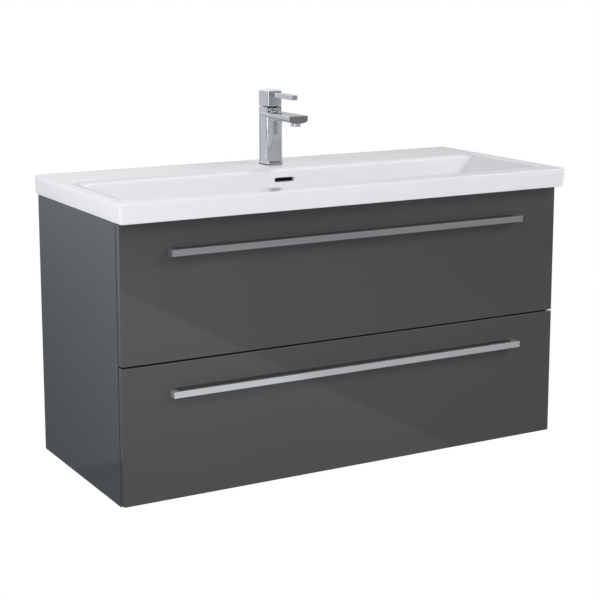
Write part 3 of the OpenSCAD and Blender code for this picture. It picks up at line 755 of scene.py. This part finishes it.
def finish_tap_lever():
    lo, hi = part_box("tap_lever")
    y0 = TAP_MIDDLE.y / MM
    c0, c1 = lo.z / MM, hi.z / MM
    me = cut(lever_cap(c0, c1), [lever_bar(y0 - 8, lo.y / MM)], "cap_union", "UNION")
    hollow = rod_tool((0, TAP_MIDDLE.y, (c0 - 1) * MM), 0.0178, 0.018)
    me = cut(me, [hollow], "tap_lever_cut")
    place("tap_lever_shell", rounded(me, "tap_lever_shell", 0.0006, 3, 34), "tap_lever", angle=30)
    bpy.data.meshes.remove(me)


finish_tap_body()
finish_tap_lever()


# ------------------------------------------------------------------ fronts and boards
FRONT_EDGE = 0.0013


def finish_front(node):
    bm = bmesh.new()
    rounded_box(bm, *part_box(node), FRONT_EDGE, 4)
    place(node + "_panel", mesh_of(bm, node + "_panel"), node, angle=60)


finish_front("upper_front")
finish_front("lower_front")

EDGES = {                   # width of the rounded edges in mm, where it isn't the usual
    "left_side_panel": 0.6, "right_side_panel": 0.6, "bottom_panel": 0.5, "middle_rail": 0.5,
    "rear_top_rail": 0.4, "rear_bottom_rail": 0.4, "upper_handle": 0.9, "lower_handle": 0.9,
    "upper_bottom": 0.4, "upper_back": 0.4, "lower_bottom": 0.4, "lower_back": 0.4, "siphon_surround": 0.6,
    "hanger_housings": 0.6, "soft_close_units": 0.8, "trap_nuts": 0.6, "waste_nut": 0.6, "trap_cup": 1.0,
    "trap_head": 0.8, "front_buffers": 0.5,
}
USUAL_EDGE = 0.25
REBUILT = {"washbasin", "tap_body", "tap_lever", "upper_front", "lower_front"}
for node in NODES:
    if node not in REBUILT:
        edge = EDGES.get(node, USUAL_EDGE)
        turns = 3 if edge > 0.55 else 2
        shape = rounded(NODES[node].data, node + "_finished", edge * MM, turns, 32, merge=2e-6, flat=0.8)
        place(node + "_finished", shape, node)


# ------------------------------------------------------------------ stage, light and camera
class StageShader:
    """Nodes of the floor or the world. Their light differs by the kind of ray: what the camera
    sees, what shines in glossy pieces, and what falls on everything else."""

    def __init__(self, owner, output, emitter, coordinate):
        owner.use_nodes = True
        self.tree = owner.node_tree
        self.tree.nodes.clear()
        self.out = self.tree.nodes.new(output)
        self.path = self.tree.nodes.new("ShaderNodeLightPath")
        coord = self.tree.nodes.new("ShaderNodeTexCoord")
        xyz = self.tree.nodes.new("ShaderNodeSeparateXYZ")
        self.tree.links.new(coord.outputs[coordinate], xyz.inputs[0])
        self.x, self.y, self.z = xyz.outputs
        self.emitter = emitter

    def math(self, operation, *values):
        """Result of a Math node; each value is a number or an output of another node."""
        n = self.tree.nodes.new("ShaderNodeMath")
        n.operation = operation
        for i, v in enumerate(values):
            if isinstance(v, (int, float)):
                n.inputs[i].default_value = v
            else:
                self.tree.links.new(v, n.inputs[i])
        return n.outputs[0]

    def ramp(self, value, lo, hi, a=0.0, b=1.0, kind="LINEAR"):
        """a up to where value is lo, b from where it is hi."""
        n = self.tree.nodes.new("ShaderNodeMapRange")
        n.interpolation_type = kind
        n.inputs["From Min"].default_value = lo
        n.inputs["From Max"].default_value = hi
        n.inputs["To Min"].default_value = a
        n.inputs["To Max"].default_value = b
        self.tree.links.new(value, n.inputs["Value"])
        return n.outputs[0]

    def step(self, value, lo, hi, a=0.0, b=1.0):
        return self.ramp(value, lo, hi, a, b, "SMOOTHSTEP")

    def blend(self, share, a, b):
        """a where share is 0, b where it is 1."""
        return self.math("MULTIPLY_ADD", share, self.math("SUBTRACT", b, a), a)

    def light(self, colour, strength):
        n = self.tree.nodes.new(self.emitter)
        n.inputs["Color"].default_value = (*colour, 1)
        if isinstance(strength, (int, float)):
            n.inputs["Strength"].default_value = strength
        else:
            self.tree.links.new(strength, n.inputs["Strength"])
        return n.outputs[0]

    def pick(self, ray, other, this):
        n = self.tree.nodes.new("ShaderNodeMixShader")
        for i, v in enumerate((self.path.outputs[ray], other, this)):
            self.tree.links.new(v, n.inputs[i])
        return n.outputs[0]

    def finish(self, glossy, soft, camera):
        """Joins the light for glossy rays, for all other rays and for what the camera sees."""
        rest = self.pick("Is Glossy Ray", soft, glossy)
        self.tree.links.new(self.pick("Is Camera Ray", rest, camera), self.out.inputs["Surface"])


FLOOR_Z = -0.35
WHITE = (1, 1, 1)


def floor_front(s, away):
    """Level of the floor in front of the doors, which mirror it."""
    # left: a bright zone that gets brighter further out
    bright = s.math("ADD", s.ramp(away, 1.25, 2.1, 0.30, 0.60), s.ramp(away, 2.1, 3.1, 0.0, 0.15))
    # right: darker and fading to the right, with a zone of its own at the far right
    dim = s.math("ADD", s.ramp(away, 1.25, 2.1, 0.08, 0.30), s.ramp(away, 2.1, 3.9, 0.0, 0.16))
    dim = s.math("ADD", dim, s.ramp(away, 4.0, 4.3, 0.0, -0.10))
    dim = s.math("MULTIPLY_ADD", s.math("SUBTRACT", s.x, 1.0), -0.21, dim)
    dim = s.math("MAXIMUM", dim, 0.10)
    dim = s.blend(s.step(s.x, 3.03, 3.07), dim, s.ramp(away, 3.7, 4.9, 0, 0.16))
    front = s.blend(s.step(s.x, 0.865, 0.895), bright, dim)
    # further out: an even stretch, then the dark end of the room with a lamp on the left
    turn = s.math("ARCTAN2", s.x, away)
    reach = s.math("SQRT", s.math("ADD", s.math("MULTIPLY", s.x, s.x), s.math("MULTIPLY", s.y, s.y)))
    far = s.math("MAXIMUM", s.step(away, 5.6, 6.1), s.step(s.x, 4.2, 4.6))
    front = s.blend(far, front, s.step(turn, -0.35, -0.12, 0.74, 0.57))
    lamp = s.math("MULTIPLY", s.step(turn, -1.32, -1.22), s.step(turn, -0.92, -0.80, 1.0, 0.0))
    end = s.math("MULTIPLY_ADD", lamp, 4.8, s.step(turn, 0.35, 1.0, 0.18, 0.40))
    front = s.blend(s.step(reach, 9.9, 10.3), front, end)
    # all zones drawn closer together, so that they show softly
    return s.math("MULTIPLY_ADD", front, 0.67, 0.2475)


def floor_beside(s):
    """Level of the floor left of the cabinet, which the side panel mirrors: dark close by,
    brighter further out, dimmer towards the back."""
    side = s.math("MULTIPLY_ADD", s.math("ADD", s.x, 0.9), -0.527, 0.298)
    side = s.math("MULTIPLY_ADD", s.y, -0.12, side)
    side = s.math("MINIMUM", s.math("MAXIMUM", side, 0.15), 0.74)
    return s.blend(s.step(s.y, 0.80, 0.84), 0.13, side)


def make_floor():
    """Pale studio floor, lit from within so that it stays even."""
    bm = bmesh.new()
    bmesh.ops.create_grid(bm, x_segments=12, y_segments=12, size=30)
    me = mesh_of(bm, "studio_floor")
    me.transform(Matrix.Translation((0, 0, FLOOR_Z)))
    obj = bpy.data.objects.new("studio_floor", me)
    bpy.context.scene.collection.objects.link(obj)
    m = bpy.data.materials.new("studio_floor")
    me.materials.append(m)
    s = StageShader(m, "ShaderNodeOutputMaterial", "ShaderNodeEmission", "Object")
    level = floor_front(s, s.math("MULTIPLY", s.y, -1.0))
    # behind the cabinet, where the rim of the bowl mirrors it
    level = s.blend(s.step(s.y, 0.4, 1.2), level, 0.9)
    left = s.step(s.x, -0.56, -0.50, 1.0, 0.0)
    back = s.step(s.y, -0.45, -0.38)
    level = s.blend(s.math("MULTIPLY", left, back), level, floor_beside(s))
    s.finish(s.light((0.97, 1.0, 1.035), level), s.light((0.963, 0.963, 1.0), 0.81), s.light(WHITE, 1.0))


def make_world():
    """A bright room with a dark end low down in front, which only shiny things show."""
    w = bpy.data.worlds.new("studio")
    bpy.context.scene.world = w
    s = StageShader(w, "ShaderNodeOutputWorld", "ShaderNodeBackground", "Generated")
    up = s.math("ADD", s.step(s.z, 0.095, 0.125, 0.74, 1.13), s.step(s.z, 0.2, 0.9, 0.0, 0.12))
    # bright on the left and straight behind, dimmer on the right
    up = s.math("MULTIPLY", up, s.ramp(s.math("ARCTAN2", s.x, s.y), 0.37, 0.64, 1.08, 0.82))
    # a lamp high up to the right
    spot = s.math("ADD", s.math("MULTIPLY", s.x, 0.495), s.math("MULTIPLY", s.y, -0.07))
    spot = s.math("MULTIPLY_ADD", s.z, 0.866, spot)
    up = s.math("MULTIPLY_ADD", s.step(spot, 0.955, 0.985), 1.8, up)
    # the dark end, lighter towards the right
    turn = s.math("ARCTAN2", s.x, s.math("MULTIPLY", s.y, -1.0))
    across = s.math("MULTIPLY", s.step(turn, -0.35, -0.15), s.step(turn, 0.50, 1.0, 1.0, 0.35))
    dark = s.math("MULTIPLY", across, s.step(s.z, 0.10, 0.22, 1.0, 0.0))
    level = s.math("MULTIPLY", up, s.math("SUBTRACT", 1.0, s.math("MULTIPLY", dark, 0.62)))
    tint = (0.975, 0.985, 1.0)
    s.finish(s.light(tint, level), s.light(tint, 0.2), s.light(WHITE, 1.0))


def area(name, aim, azimuth, elevation, distance, size, power, colour=WHITE):
    """Area light seen from aim at an azimuth from the front normal towards +x."""
    a, e = math.radians(azimuth), math.radians(elevation)
    d = Vector((math.sin(a) * math.cos(e), -math.cos(a) * math.cos(e), math.sin(e)))
    light = bpy.data.lights.new(name, "AREA")
    light.shape = "RECTANGLE"
    light.size, light.size_y = size
    light.energy = power
    light.color = colour
    obj = bpy.data.objects.new(name, light)
    obj.location = Vector(aim) + d * distance
    obj.rotation_mode = "QUATERNION"
    obj.rotation_quaternion = (-d).to_track_quat("-Z", "Y")
    obj.visible_glossy = False
    bpy.context.scene.collection.objects.link(obj)


def make_camera():
    cam = bpy.data.cameras.new("photo_camera")
    cam.sensor_width = 36.0
    cam.lens = 90.6331
    cam.shift_y = -0.11
    cam.clip_start, cam.clip_end = 0.05, 100
    obj = bpy.data.objects.new("photo_camera", cam)
    obj.location = (-1.51901, -2.90099, 0.98758)
    obj.rotation_euler = (math.radians(90 - 9.9765), 0, math.radians(-29.3991))
    bpy.context.scene.collection.objects.link(obj)
    bpy.context.scene.camera = obj


make_floor()
make_world()
MIDDLE = (0, -0.2, 0.4)
area("key", MIDDLE, 50, 33, 7.0, (2.6, 2.6), 235, (1, 1, 0.97))
area("left_side", MIDDLE, -80, 12, 3.0, (1.6, 1.6), 31.0)
area("left_front", MIDDLE, -40, 30, 2.8, (1.6, 1.6), 21.8, (0.91, 0.894, 1))
area("back", MIDDLE, 160, 20, 4.0, (2.0, 2.0), 40.0)
make_camera()
bpy.context.scene.view_settings.view_transform = "Standard"
